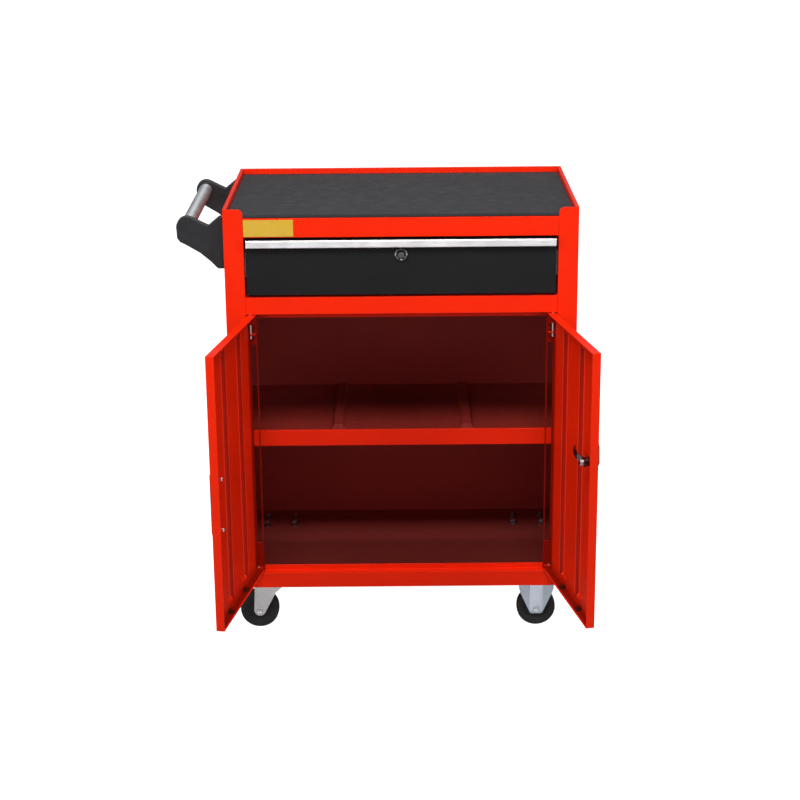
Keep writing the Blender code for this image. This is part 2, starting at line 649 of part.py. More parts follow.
def right_door():
    hinge = empty("right_door_hinge", (HINGE_X, PIN_FROM_FACE, 0), FRAME, DOOR_OPEN["right"])
    door = door_panel("right_door_panel", 1, hinge)
    door_pins("right", 1, door, hinge)
    face = -PIN_FROM_FACE
    x = -FREE_EDGE + DOOR_LOCK_FROM_FREE_EDGE
    inward = (math.radians(-90), 0, 0)
    drill(door, 0.0088, (x, face - 0.005, DOOR_LOCK_Z), (x, face + 0.006, DOOR_LOCK_Z), hinge, 20)
    bore = SPINDLE_RADIUS + GAP
    body = [(bore, 0.0155), (0.0085, 0.0155), (0.0085, -GAP), (0.0120, -GAP), (0.0120, -0.0022)]
    body += [(0.0110, -0.0030), (bore, -0.0030)]
    turned("door_lock_body", body, 24, ZINC, hinge, (x, face, DOOR_LOCK_Z), inward, ring=True)
    door_lock(hinge, (x, face, DOOR_LOCK_Z))


def door_lock(hinge, location):
    """Lever outside, spindle through the lock body, cranked cam and nut inside."""
    axis = empty("door_lock_axis", location, hinge)
    inward = (math.radians(-90), 0, 0)
    outline = arc((0, 0.026), 0.0065, 0, 180, 8) + arc((0, 0), 0.0085, 160, 380, 10)
    rise = 0.0030 + GAP
    place = (0, -rise - LEVER_THICKNESS / 2, 0)
    lever = plate("door_lock_lever", outline, LEVER_THICKNESS, PLASTIC, axis, place, (math.radians(90), 0, 0))
    bevel(lever, 0.0012, 1)
    join(lever, rod("spindle", SPINDLE_RADIUS, (0, -rise - 0.001, 0), (0, 0.0242, 0), 16, None, axis))
    drill(lever, 0.0048, (0, -0.02, 0), (0, -rise - 0.0020, 0), axis, 16)
    cam_base = 0.0158
    raised = cam_base + 0.0060
    outline = [(-0.0070, cam_base), (0.0100, cam_base), (0.0190, raised), (0.0400, raised)]
    outline += [(CAM_REACH, cam_base + 0.0020)]
    cam = folded("door_lock_cam", outline, "Z", (-0.0060, 0.0060), ZINC, axis)
    cam.modifiers["sheet"].thickness = 0.0018
    cam.modifiers["sheet"].offset = 1.0
    cam.rotation_euler = (0, -CAM_REST, 0)
    drill(cam, SPINDLE_RADIUS + GAP, (0, cam_base - 0.004, 0), (0, cam_base + 0.004, 0), axis, 16)
    bore = SPINDLE_RADIUS + GAP
    nut = [(bore, 0.0235), (0.0056, 0.0235), (0.0060, 0.0231), (0.0060, 0.0180), (bore, 0.0180)]
    turned("door_lock_nut", nut, 16, ZINC, axis, (0, 0, 0), inward, ring=True)
    key = empty("door_key_axis", (0, 0, 0), axis)
    front = rise + LEVER_THICKNESS
    profile = [(0, front + 0.0006), (0.0040, front + 0.0006), (0.0044, front + 0.0002)]
    profile += [(0.0044, front - PLUG_DEPTH), (0, front - PLUG_DEPTH)]
    plug = turned("door_lock_plug", profile, 16, CHROME, key, (0, 0, 0), (math.radians(90), 0, 0))
    low, high = (-0.0005, -front - 0.002, -0.0028), (0.0005, -front + 0.0035, 0.0028)
    cut(plug, block("door_keyway", low, high, None, key))


# ---- castors ------------------------------------------------------------------------------------------
def leg_pair(obj, outline, x, y, parent):
    """Join the two legs of a fork, drawn in XZ about the wheel axis, either side of the wheel."""
    up = (math.radians(90), 0, 0)
    for side in (-1, 1):
        middle = y + side * (LEG_INSIDE + LEG_SHEET / 2)
        join(obj, plate("leg", outline, LEG_SHEET, None, parent, (x, middle, 0), up))


def top_plate(name, x, y):
    dx, dy, dz = (size / 2 for size in CASTOR_PLATE)
    base = block(name, (x - dx, y - dy, PLATE_TOP - 2 * dz), (x + dx, y + dy, PLATE_TOP), ZINC, FRAME)
    for bx, by in castor_bolts(x, y):
        foot, tip = (bx, by, PLATE_TOP - dz), (bx, by, FLOOR_TOP + 0.009)
        join(base, rod("stud", BOLT_RADIUS, foot, tip, 10, None, FRAME))
    return base


def wheel(name, axis):
    half = WHEEL_WIDTH / 2
    radius = WHEEL_RADIUS
    outer = [(0.0255, half - 0.0008), (0.0310, half)]
    outer += [(radius - 0.0030, half), (radius - 0.0008, half - 0.0030)]
    outer += [(radius, half - 0.0075)]
    hub = [(AXLE_RADIUS + 0.0005, half + 0.0014), (0.0095, half + 0.0014)]
    hub += [(0.0105, half - 0.0025), (0.0245, half - 0.0025)]
    profile = hub + outer
    profile += [(r, -z) for r, z in reversed(profile)]
    turned(name, profile, 28, TYRE, axis, (0, 0, 0), (math.radians(90), 0, 0), ring=True)


def axle(name, x, y, parent):
    end = LEG_INSIDE + LEG_SHEET + GAP
    radius = AXLE_RADIUS
    head = [(0, end + 0.0042), (0.0048, end + 0.0042), (0.0060, end + 0.0030), (0.0060, end), (radius, end)]
    profile = head + [(r, -z) for r, z in reversed(head)]
    turned(name, profile, 12, ZINC, parent, (x, y, WHEEL_RADIUS), (math.radians(90), 0, 0))


def rigid_castor(end, y):
    x = RIGID_X
    bracket = top_plate("rigid_castor_bracket_" + end, x, y)
    top = PLATE_TOP - CASTOR_PLATE[2] / 2
    right = [(0.0082, 0.0264), (0.0112, 0.0274), (0.0132, 0.0304), (0.0310, 0.0705)]
    right += [(0.0335, 0.0790), (0.0340, top)]
    outline = right + [(-dx, z) for dx, z in reversed(right)]
    leg_pair(bracket, outline, x, y, FRAME)
    reach = LEG_INSIDE + LEG_SHEET + 0.002
    drill(bracket, AXLE_RADIUS + GAP, (x, y - reach, WHEEL_RADIUS), (x, y + reach, WHEEL_RADIUS), FRAME)
    axle("rigid_castor_axle_" + end, x, y, FRAME)
    wheel("rigid_castor_wheel_" + end, empty("rigid_wheel_axis_" + end, (x, y, WHEEL_RADIUS), FRAME))


def swivel_castor(end, y):
    x = SWIVEL_X
    base = top_plate("swivel_castor_plate_" + end, x, y)
    under = PLATE_TOP - CASTOR_PLATE[2]
    crown_top = under - 0.0120
    crown_bottom = crown_top - 0.0025
    cup_top = crown_top + 0.0040
    race = [(0, under + 0.001), (0.0225, under + 0.001), (0.0200, cup_top + GAP), (0.0052, cup_top + GAP)]
    race += [(0.0052, crown_bottom - GAP), (0.0085, crown_bottom - GAP), (0.0085, crown_bottom - 0.0025)]
    race += [(0.0060, crown_bottom - 0.0040), (0, crown_bottom - 0.0040)]
    join(base, turned("race", race, 20, None, FRAME, (x, y, 0)))
    swivel = empty("swivel_axis_" + end, (x, y, 0), FRAME)
    reach = LEG_INSIDE + LEG_SHEET
    low, high = (-0.0350, -reach, crown_bottom), (0.0230, reach, crown_top)
    fork = block("swivel_fork_" + end, low, high, ZINC, swivel)
    middle = (crown_top + crown_bottom) / 2
    cup = [(0, cup_top), (0.0250, cup_top), (0.0262, cup_top - 0.0025), (0.0262, middle), (0, middle)]
    join(fork, turned("cup", cup, 20, None, swivel))
    trail = CASTOR_TRAIL
    outline = [(-trail - 0.0075, 0.0290), (-trail - 0.0030, 0.0262), (-trail + 0.0045, 0.0262)]
    outline += [(-trail + 0.0095, 0.0300), (0.0055, 0.0745), (0.0200, 0.0875)]
    outline += [(0.0215, crown_top - 0.0005), (-0.0350, crown_top - 0.0005)]
    outline += [(-0.0352, 0.0820), (-trail - 0.0106, 0.0360)]
    leg_pair(fork, outline, 0, 0, swivel)
    drill(fork, 0.0055, (0, 0, crown_bottom - 0.006), (0, 0, cup_top + 0.004), swivel, 20)
    hole = reach + 0.002
    drill(fork, AXLE_RADIUS + GAP, (-trail, -hole, WHEEL_RADIUS), (-trail, hole, WHEEL_RADIUS), swivel)
    axle("swivel_castor_axle_" + end, -trail, 0, swivel)
    wheel("swivel_castor_wheel_" + end, empty("swivel_wheel_axis_" + end, (-trail, 0, WHEEL_RADIUS), swivel))


# ---- the whole object ---------------------------------------------------------------------------------
def centre_footprint():
    """Move the frame so that the middle of the whole object's footprint is at the origin."""
    bpy.context.view_layer.update()
    depsgraph = bpy.context.evaluated_depsgraph_get()
    corners = []
    for obj in PARTS.objects:
        if obj.type == 'MESH':
            evaluated = obj.evaluated_get(depsgraph)
            corners += [evaluated.matrix_world @ vertex.co for vertex in evaluated.data.vertices]
    for axis in (0, 1):
        values = [corner[axis] for corner in corners]
        FRAME.location[axis] = -(min(values) + max(values)) / 2


def build():
    side_panel("left_side_panel", -1)
    side_panel("right_side_panel", 1)
    back_panel()
    floor_panel()
    rails()
    worktop()
    shelf()
    name_plate()
    push_handle()
    drawer()
    left_door()
    right_door()
    for end, y in CASTORS.items():
        rigid_castor(end, y)
        swivel_castor(end, y)
    centre_footprint()


clear_scene()
PARTS = collection("rolling_tool_box")
TOOLS = collection("cutters")
FRAME = empty("frame")
build()
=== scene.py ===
"""The looks of the rolling tool box: materials, turned and pressed detail, studio light and camera."""

import json
import math

import bmesh
import bpy
from mathutils import Matrix, Vector


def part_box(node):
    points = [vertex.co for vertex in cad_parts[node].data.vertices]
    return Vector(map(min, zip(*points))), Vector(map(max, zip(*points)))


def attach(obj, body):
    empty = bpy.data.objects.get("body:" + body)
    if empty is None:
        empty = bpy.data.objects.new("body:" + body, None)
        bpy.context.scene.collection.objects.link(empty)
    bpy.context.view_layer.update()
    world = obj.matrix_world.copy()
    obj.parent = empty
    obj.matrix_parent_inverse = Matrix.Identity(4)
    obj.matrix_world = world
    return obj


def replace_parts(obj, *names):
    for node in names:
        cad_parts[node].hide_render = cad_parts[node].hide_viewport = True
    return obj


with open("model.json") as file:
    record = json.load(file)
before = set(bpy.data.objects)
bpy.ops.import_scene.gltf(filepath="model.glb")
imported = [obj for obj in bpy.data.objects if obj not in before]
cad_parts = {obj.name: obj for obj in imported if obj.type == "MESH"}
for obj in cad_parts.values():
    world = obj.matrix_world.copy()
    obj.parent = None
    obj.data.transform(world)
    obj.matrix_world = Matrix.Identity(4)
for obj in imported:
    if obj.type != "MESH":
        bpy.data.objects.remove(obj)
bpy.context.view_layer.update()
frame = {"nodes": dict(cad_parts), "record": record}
NODES = frame["nodes"]

# ---- places read from the frame, and directions ----------------------------------------------------------
header_low, header_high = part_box("header_rail")
MIDDLE = (header_low.x + header_high.x) / 2
FRONT = header_low.y
FLOOR_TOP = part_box("floor_panel")[1].z
ENDS = ("front", "rear")
SIDES = ("left", "right")
CABINET_MIDDLE = (MIDDLE, FRONT + 0.2, 0.50)    # a point that every inner face looks towards
ACROSS = (1.0, 0.0, 0.0)
BACKWARDS = (0.0, 1.0, 0.0)
FORWARDS = (0.0, -1.0, 0.0)
UPWARDS = (0.0, 0.0, 1.0)


def middle_of(node):
    """The middle of a node's box."""
    low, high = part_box(node)
    return (low + high) / 2


# ---- materials -------------------------------------------------------------------------------------------
class Finish:
    """A Principled material whose colour, roughness and relief come from noise in object space."""

    def __init__(self, name, colour, roughness, metallic=0.0, **fixed):
        self.material = bpy.data.materials.new(name)
        self.material.use_nodes = True
        self.material.diffuse_color = (*colour, 1.0)
        tree = self.material.node_tree
        self.nodes, self.links = tree.nodes, tree.links
        self.shader = self.nodes["Principled BSDF"]
        self.shader.inputs["Base Color"].default_value = (*colour, 1.0)
        self.shader.inputs["Roughness"].default_value = roughness
        self.shader.inputs["Metallic"].default_value = metallic
        for socket, value in fixed.items():
            self.shader.inputs[socket.replace("_", " ")].default_value = value
        self.place = self.nodes.new("ShaderNodeTexCoord").outputs["Object"]
        self.relief = None

    def scaled(self, stretch):
        """The place on the object, with its axes multiplied by stretch."""
        mapping = self.nodes.new("ShaderNodeMapping")
        mapping.inputs["Scale"].default_value = stretch
        self.links.new(self.place, mapping.inputs["Vector"])
        return mapping.outputs["Vector"]

    def noise(self, scale, detail=4.0, roughness=0.55, stretch=(1.0, 1.0, 1.0)):
        """Cloudy noise, about 0.3 to 0.7."""
        made = self.nodes.new("ShaderNodeTexNoise")
        made.inputs["Scale"].default_value = scale
        made.inputs["Detail"].default_value = detail
        made.inputs["Roughness"].default_value = roughness
        self.links.new(self.scaled(stretch), made.inputs["Vector"])
        return made.outputs["Fac"]

    def cells(self, scale):
        """Distance from the nearest of many scattered points."""
        made = self.nodes.new("ShaderNodeTexVoronoi")
        made.inputs["Scale"].default_value = scale
        self.links.new(self.place, made.inputs["Vector"])
        return made.outputs["Distance"]

    def remap(self, value, low, high, to_low=0.0, to_high=1.0):
        """Take low..high to to_low..to_high, and hold it there outside."""
        made = self.nodes.new("ShaderNodeMapRange")
        made.inputs["From Min"].default_value = low
        made.inputs["From Max"].default_value = high
        made.inputs["To Min"].default_value = to_low
        made.inputs["To Max"].default_value = to_high
        self.links.new(value, made.inputs["Value"])
        return made.outputs["Result"]

    def times(self, first, second):
        """The product of two values."""
        made = self.nodes.new("ShaderNodeMath")
        made.operation = 'MULTIPLY'
        self.links.new(first, made.inputs[0])
        self.links.new(second, made.inputs[1])
        return made.outputs["Value"]

    def along(self, origin, direction):
        """Distance of each point from origin along a direction, in the frame's coordinates."""
        offset = self.nodes.new("ShaderNodeVectorMath")
        offset.operation = 'SUBTRACT'
        self.links.new(self.place, offset.inputs[0])
        offset.inputs[1].default_value = origin
        dot = self.nodes.new("ShaderNodeVectorMath")
        dot.operation = 'DOT_PRODUCT'
        self.links.new(offset.outputs["Vector"], dot.inputs[0])
        dot.inputs[1].default_value = direction
        return dot.outputs["Value"]

    def facing(self, direction, low=0.3, high=0.6):
        """1 on faces that look along a direction, 0 on the others."""
        dot = self.nodes.new("ShaderNodeVectorMath")
        dot.operation = 'DOT_PRODUCT'
        self.links.new(self.nodes.new("ShaderNodeTexCoord").outputs["Normal"], dot.inputs[0])
        dot.inputs[1].default_value = direction
        return self.remap(dot.outputs["Value"], low, high)

    def near(self, value, centre, inner, outer):
        """1 where value is within inner of centre, falling to 0 at outer."""
        away = self.nodes.new("ShaderNodeMath")
        away.operation = 'SUBTRACT'
        self.links.new(value, away.inputs[0])
        away.inputs[1].default_value = centre
        size = self.nodes.new("ShaderNodeMath")
        size.operation = 'ABSOLUTE'
        self.links.new(away.outputs["Value"], size.inputs[0])
        return self.remap(size.outputs["Value"], inner, outer, 1.0, 0.0)

    def edges(self, radius):
        """1 on edges and close to them, within radius; 0 on flat faces."""
        soft = self.nodes.new("ShaderNodeBevel")
        soft.samples = 4
        soft.inputs["Radius"].default_value = radius
        hard = self.nodes.new("ShaderNodeNewGeometry")
        dot = self.nodes.new("ShaderNodeVectorMath")
        dot.operation = 'DOT_PRODUCT'
        self.links.new(soft.outputs["Normal"], dot.inputs[0])
        self.links.new(hard.outputs["Normal"], dot.inputs[1])
        return self.remap(dot.outputs["Value"], 0.99, 0.80)

    def tint(self, factor, colour):
        """Blend the colour so far towards another, by a factor from 0 to 1."""
        made = self.nodes.new("ShaderNodeMix")
        made.data_type = 'RGBA'
        base = self.shader.inputs["Base Color"]
        if base.is_linked:
            self.links.new(base.links[0].from_socket, made.inputs["A"])
        else:
            made.inputs["A"].default_value = base.default_value
        made.inputs["B"].default_value = (*colour, 1.0)
        self.links.new(factor, made.inputs["Factor"])
        self.links.new(made.outputs["Result"], base)

    def gloss(self, value, low, high, rough_low, rough_high):
        """Let the roughness follow a value."""
        roughness = self.remap(value, low, high, rough_low, rough_high)
        self.links.new(roughness, self.shader.inputs["Roughness"])

    def bump(self, height, strength, distance):
        """Lay fine relief over what is there already."""
        made = self.nodes.new("ShaderNodeBump")
        made.inputs["Strength"].default_value = strength
        made.inputs["Distance"].default_value = distance
        self.links.new(height, made.inputs["Height"])
        if self.relief is not None:
            self.links.new(self.relief, made.inputs["Normal"])
        self.relief = made.outputs["Normal"]
        self.links.new(self.relief, self.shader.inputs["Normal"])


def shade(colour, factor):
    """A colour made darker or lighter."""
    return tuple(min(1.0, channel * factor) for channel in colour)


def enamel(name, colour, roughness, peel, specular, tones=None):
    """Baked enamel with orange peel, a slow drift of tone and thin paint on the edges; tones adds more."""
    made = Finish(name, colour, roughness, Specular_IOR_Level=specular)
    drift = made.remap(made.noise(scale=5.0, detail=3.0), 0.35, 0.70)
    specks = made.remap(made.noise(scale=420.0, detail=2.0), 0.62, 0.80, 0.0, 0.35)
    patches = made.remap(made.noise(scale=60.0, detail=5.0, roughness=0.7), 0.40, 0.66, 0.05, 0.55)
    made.tint(drift, shade(colour, 0.90))
    made.tint(specks, shade(colour, 0.72))
    made.tint(made.times(made.edges(0.0012), patches), tuple(0.80 * channel + 0.030 for channel in colour))
    if tones is not None:
        tones(made)
    made.gloss(made.noise(scale=34.0, detail=5.0), 0.30, 0.72, roughness - 0.06, roughness + 0.09)
    made.bump(made.noise(scale=520.0, detail=2.0), strength=peel, distance=0.0004)
    made.bump(made.noise(scale=14.0, detail=2.0), strength=0.06, distance=0.004)
    return made.material


def rubber(name, colour, roughness, grain, dust):
    """Moulded rubber or foam: fine pebble, darker in its hollows, with paler dusty patches."""
    made = Finish(name, colour, roughness, Specular_IOR_Level=0.30)
    pebble = made.cells(grain)
    made.tint(made.remap(made.noise(scale=9.0, detail=5.0), 0.42, 0.72, 0.0, dust), shade(colour, 1.55))
    made.tint(made.remap(pebble, 0.0, 0.5, 0.45, 0.0), shade(colour, 0.62))
    made.gloss(made.noise(scale=55.0, detail=4.0), 0.3, 0.7, roughness - 0.08, min(1.0, roughness + 0.10))
    made.bump(pebble, strength=0.35, distance=0.0006)
    made.bump(made.noise(scale=grain * 2.3, detail=3.0), strength=0.18, distance=0.0004)
    return made.material


def plastic(name, colour, roughness):
    """Injection-moulded plastic with a spark-eroded grain and paler edges, worn by rubbing."""
    made = Finish(name, colour, roughness, Specular_IOR_Level=0.42)
    polish = made.remap(made.noise(scale=80.0), 0.3, 0.6, 0.3, 0.8)
    made.tint(made.remap(made.noise(scale=26.0, detail=4.0), 0.4, 0.7, 0.0, 0.5), shade(colour, 1.30))
    made.tint(made.times(made.edges(0.0016), polish), shade(colour, 2.6))
    made.gloss(made.noise(scale=70.0, detail=4.0), 0.3, 0.7, roughness - 0.08, roughness + 0.10)
    made.bump(made.noise(scale=1100.0, detail=2.0), strength=0.30, distance=0.0003)
    return made.material


def metal(name, colour, roughness, stretch, scratch, stain, tones=None):
    """Bare or plated metal with a drawn grain, stains, fine pits and bright edges; tones adds more."""
    made = Finish(name, colour, roughness, metallic=1.0)
    clouds = made.remap(made.noise(scale=38.0, detail=5.0, roughness=0.65), 0.45, 0.75, 0.0, stain)
    pits = made.remap(made.noise(scale=640.0, detail=2.0), 0.66, 0.78, 0.0, 0.5)
    rubbing = made.remap(made.noise(scale=90.0), 0.3, 0.7, 0.2, 0.7)
    made.tint(clouds, shade(colour, 0.70))
    made.tint(pits, shade(colour, 0.45))
    made.tint(made.times(made.edges(0.0008), rubbing), shade(colour, 1.25))
    worn = made.noise(scale=46.0, detail=5.0, roughness=0.6)
    made.gloss(worn, 0.3, 0.7, max(0.02, roughness - 0.07), roughness + 0.10)
    grain = made.noise(scale=900.0, detail=3.0, roughness=0.6, stretch=stretch)
    made.bump(grain, strength=scratch, distance=0.0002)
    if tones is not None:
        tones(made)
    return made.material


def foil(name, colour):
    """Foil plate: lacquered, slightly wavy, with patches worn by rubbing, specks of dirt and a worn rim."""
    made = Finish(name, colour, 0.30, Specular_IOR_Level=0.5, Coat_Weight=0.25, Coat_Roughness=0.10)
    rubbed_wear_and_painted_highlights = made.remap(made.noise(scale=46.0, detail=5.0, roughness=0.7), 0.40, 0.70, 0.0, 0.6)
    dirt = made.remap(made.noise(scale=260.0, detail=3.0), 0.60, 0.74, 0.0, 0.5)
    made.tint(rubbed_wear_and_painted_highlights, (0.56, 0.36, 0.06))
    made.tint(dirt, (0.45, 0.26, 0.03))
    made.tint(made.edges(0.0009), (0.50, 0.30, 0.06))
    made.gloss(made.noise(scale=90.0, detail=4.0), 0.3, 0.7, 0.22, 0.40)
    made.bump(made.noise(scale=60.0, detail=3.0), strength=0.15, distance=0.0008)
    return made.material


# ---- the finish of every node of the CAD -----------------------------------------------------------------
RED_COLOUR = (0.80, 0.0185, 0.0015)
CHARCOAL = (0.0105, 0.0105, 0.0115)
SATIN_ALUMINIUM = (0.97, 0.975, 0.985)
# the dark of the painted shade on the drawer pull's upward faces
PAINTED_SHADE_DARK = (0.03, 0.03, 0.03)
# stretches of a metal's grain: a small number draws it out along that axis
EVEN = (1.0, 1.0, 1.0)
DRAWN_ACROSS = (0.02, 1.0, 1.0)
DRAWN_BACK = (1.0, 0.03, 1.0)
DRAWN_UP = (1.0, 1.0, 0.15)
BRUSHED_UP = (1.0, 1.0, 0.3)


def red_enamel(name, tones=None):
    """The red enamel of the sheet metal."""
    return enamel(name, RED_COLOUR, roughness=0.36, peel=0.14, specular=0.14, tones=tones)


def painted_shade_above(made):
    """Painted shade: dark on the faces that look up."""
    made.tint(made.facing(UPWARDS, 0.7, 0.9), PAINTED_SHADE_DARK)


def pull_aluminium(name, tones=None):
    """Satin aluminium, drawn along the pull."""
    return metal(name, SATIN_ALUMINIUM, 0.50, DRAWN_ACROSS, scratch=0.04, stain=0.08, tones=tones)


FINISHES = {
    "red_enamel": red_enamel("red enamel"),
    "dark_enamel": enamel("charcoal enamel", CHARCOAL, roughness=0.42, peel=0.18, specular=0.14),
    "rubber": rubber("mat rubber", (0.0218, 0.0223, 0.0254), roughness=0.78, grain=420.0, dust=0.12),
    "tyre": rubber("wheel rubber", (0.0125, 0.0128, 0.0130), roughness=0.60, grain=900.0, dust=0.35),
    "black_plastic": plastic("black plastic", (0.0086, 0.0086, 0.0102), roughness=0.50),
    "aluminium": pull_aluminium("satin aluminium"),
    "zinc": metal("zinc plate", (0.66, 0.665, 0.675), 0.40, DRAWN_UP, scratch=0.05, stain=0.35),
    "chrome": metal("chrome", (0.72, 0.73, 0.75), 0.12, EVEN, scratch=0.02, stain=0.12),
    "yellow_plate": foil("yellow foil", (0.56, 0.335, 0.022)),
}
BURNISHED = metal("burnished steel", (0.165, 0.120, 0.130), 0.24, BRUSHED_UP, scratch=0.05, stain=0.30)
LOCK_CHROME = metal("smoked chrome", (0.27, 0.265, 0.27), 0.15, EVEN, scratch=0.02, stain=0.15)
TUBE = metal("drawn tube", (0.62, 0.64, 0.66), 0.46, DRAWN_BACK, scratch=0.01, stain=0.06)
DULL_ZINC = metal("dull zinc", (0.34, 0.34, 0.35), 0.34, DRAWN_UP, scratch=0.05, stain=0.35)
# lit and shaded copies of one blue zinc: the blue is the zinc's own, the paler plateau is painted light and
# the darker bracket is painted shade
PAINTED_LIGHT_PLATEAU_ZINC = metal("blue zinc, painted light", (0.74, 0.83, 0.96), 0.36, DRAWN_UP, scratch=0.05, stain=0.25)
PAINTED_SHADE_BRACKET_ZINC = metal("blue zinc plate", (0.52, 0.60, 0.68), 0.42, DRAWN_UP, scratch=0.05, stain=0.25)


def dress(node, material):
    """Give a whole node of the CAD one material."""
    materials = NODES[node].data.materials
    materials.clear()
    materials.append(material)


for entry in frame["record"]["subparts"]:
    dress(entry["node"], FINISHES[entry["material_slot"]])
dress("handle_tube", TUBE)
dress("drawer_lock_plug", LOCK_CHROME)
# painted shade on the pull's upward faces
dress("drawer_pull", pull_aluminium("satin aluminium, painted shade above", painted_shade_above))
dress("door_lock_cam", BURNISHED)
dress("door_lock_body", BURNISHED)
# the brackets in the shaded copy of the blue zinc: painted shade
for end_name in ENDS:
    dress("rigid_castor_bracket_" + end_name, PAINTED_SHADE_BRACKET_ZINC)


# ---- cabinet: painted shade inside, painted light towards the rear ---------------------------------------
# painted shade: deeper, duller reds on the faces inside the compartments
PAINTED_SHADE_INSIDE = (0.48, 0.040, 0.032)
PAINTED_SHADE_INSIDE_BY_NODE = {
    "floor_panel": (0.112, 0.0150, 0.0120),
    "shelf": (0.19, 0.019, 0.014),
    "back_panel": (0.64, 0.105, 0.090),
}
# painted light: the floor and the shelf grow lighter towards the rear
PAINTED_LIGHT_TOWARDS_REAR = {
    "floor_panel": (0.42, 0.065, 0.055),
    "shelf": (0.50, 0.080, 0.070),
}
REAR_START = 0.52               # where the painted light towards the rear begins, as a part of the panel's depth
SHELF_LIP = (0.004, 0.008)      # where the inside of the shelf begins behind its front
POST_DEPTH = (0.018, 0.030)     # where the inside of the cabinet begins behind its front
TOP_EDGE = (0.010, 0.0)         # and where it ends, above the foot of the header rail


def inner_faces(made):
    """1 on the faces of the cabinet that look into its compartments, behind the front posts."""
    towards = made.nodes.new("ShaderNodeVectorMath")
    towards.operation = 'SUBTRACT'
    towards.inputs[0].default_value = CABINET_MIDDLE
    made.links.new(made.place, towards.inputs[1])
    dot = made.nodes.new("ShaderNodeVectorMath")
    dot.operation = 'DOT_PRODUCT'
    made.links.new(towards.outputs["Vector"], dot.inputs[0])
    made.links.new(made.nodes.new("ShaderNodeTexCoord").outputs["Normal"], dot.inputs[1])
    looking_in = made.remap(dot.outputs["Value"], 0.0, 0.010)
    deep = made.remap(made.along((0.0, FRONT, 0.0), BACKWARDS), *POST_DEPTH)
    below_top = made.remap(made.along((0.0, 0.0, header_low.z), UPWARDS), *TOP_EDGE)
    return made.times(made.times(looking_in, deep), below_top)


def painted_shade_inside(node):
    """Painted shade: deeper colour on a panel's faces in the compartments, or on all that is behind the
    shelf's lip; painted light: lighter towards the rear of the floor and the shelf.
    """
    low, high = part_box(node)
    reach = high.y - low.y

    def lay(made):
        depth = made.along(low, BACKWARDS)
        inside = made.remap(depth, *SHELF_LIP) if node == "shelf" else inner_faces(made)
        made.tint(inside, PAINTED_SHADE_INSIDE_BY_NODE.get(node, PAINTED_SHADE_INSIDE))
        if node in PAINTED_LIGHT_TOWARDS_REAR:
            made.tint(made.times(inside, made.remap(depth, REAR_START * reach, reach)), PAINTED_LIGHT_TOWARDS_REAR[node])

    return lay


# painted shade inside the cabinet, with painted light towards the rear of the floor and the shelf
for cabinet_node in frame["record"]["behaviour"]["bodies"]["cabinet"]:
    if NODES[cabinet_node].active_material == FINISHES["red_enamel"]:
        dress(cabinet_node, red_enamel("red enamel of " + cabinet_node, painted_shade_inside(cabinet_node)))


# ---- doors: painted shade in the folds and on the pressed ribs, painted highlights beside them -----------
# painted shade (the dark reds and the spot) and painted highlights (the light lines) on the doors' inner
# faces
PAINTED_SHADE_RED = (0.215, 0.0050, 0.0012)
PAINTED_SHADE_SLOPE_RED = (0.34, 0.0050, 0.0004)
PAINTED_HIGHLIGHT_RED = (0.98, 0.050, 0.018)
PAINTED_SHADE_SPOT = (0.030, 0.0070, 0.0050)
RIBS = (0.083, 0.183)           # centre of each rib from the hinge axis
RIB_HALF = 0.0180
RIB_LENGTH = (0.236, 0.240)     # half length of a rib's painted shade and highlights, and where they have faded out
SLOPE_BAND = (0.0042, 0.0056)   # the painted shade on the slope: half width, and where it has faded out
LINE_BAND = (0.0014, 0.0030)    # the same of the painted highlight lines
LINES = (-0.0060, 0.0080)       # the painted highlight lines each side of the slope
HINGE_FOLD = (0.016, 0.002)     # painted shade fading in towards the hinge
BOTTOM_FOLD = (0.014, 0.003)    # painted shade fading in towards the foot of the door
FOLD_LIP = (0.0087, 0.0072)     # depth of the bottom fold's painted shade, short of its bright rim
FOOT_SHADE = (0.030, 0.002, 0.0, 0.6)       # from this height down to this one, and how strong
SPOT_OFFSET = 0.010             # of the painted shade spot at the foot of a rib, from the rib's centre
SPOT_ALONG = (0.0070, 0.0130)   # the spot's half width, and where it has faded out
SPOT_HEIGHT = (0.001, 0.003, 0.009)         # its middle, its half size, and where it has faded out
SPOT_DEPTH = (-0.001, 0.006, 0.010)


def inward_of(side):
    """The direction across a door's skin from its outer to its inner face, for a door standing open."""
    panel = NODES[side + "_door_panel"].data
    skin = max(panel.polygons, key=lambda face: face.area)
    inward = Vector((skin.normal.x, skin.normal.y, 0.0)).normalized()
    if inward.x * (MIDDLE - middle_of(side + "_door_top_pin").x) < 0:
        inward = -inward
    return inward


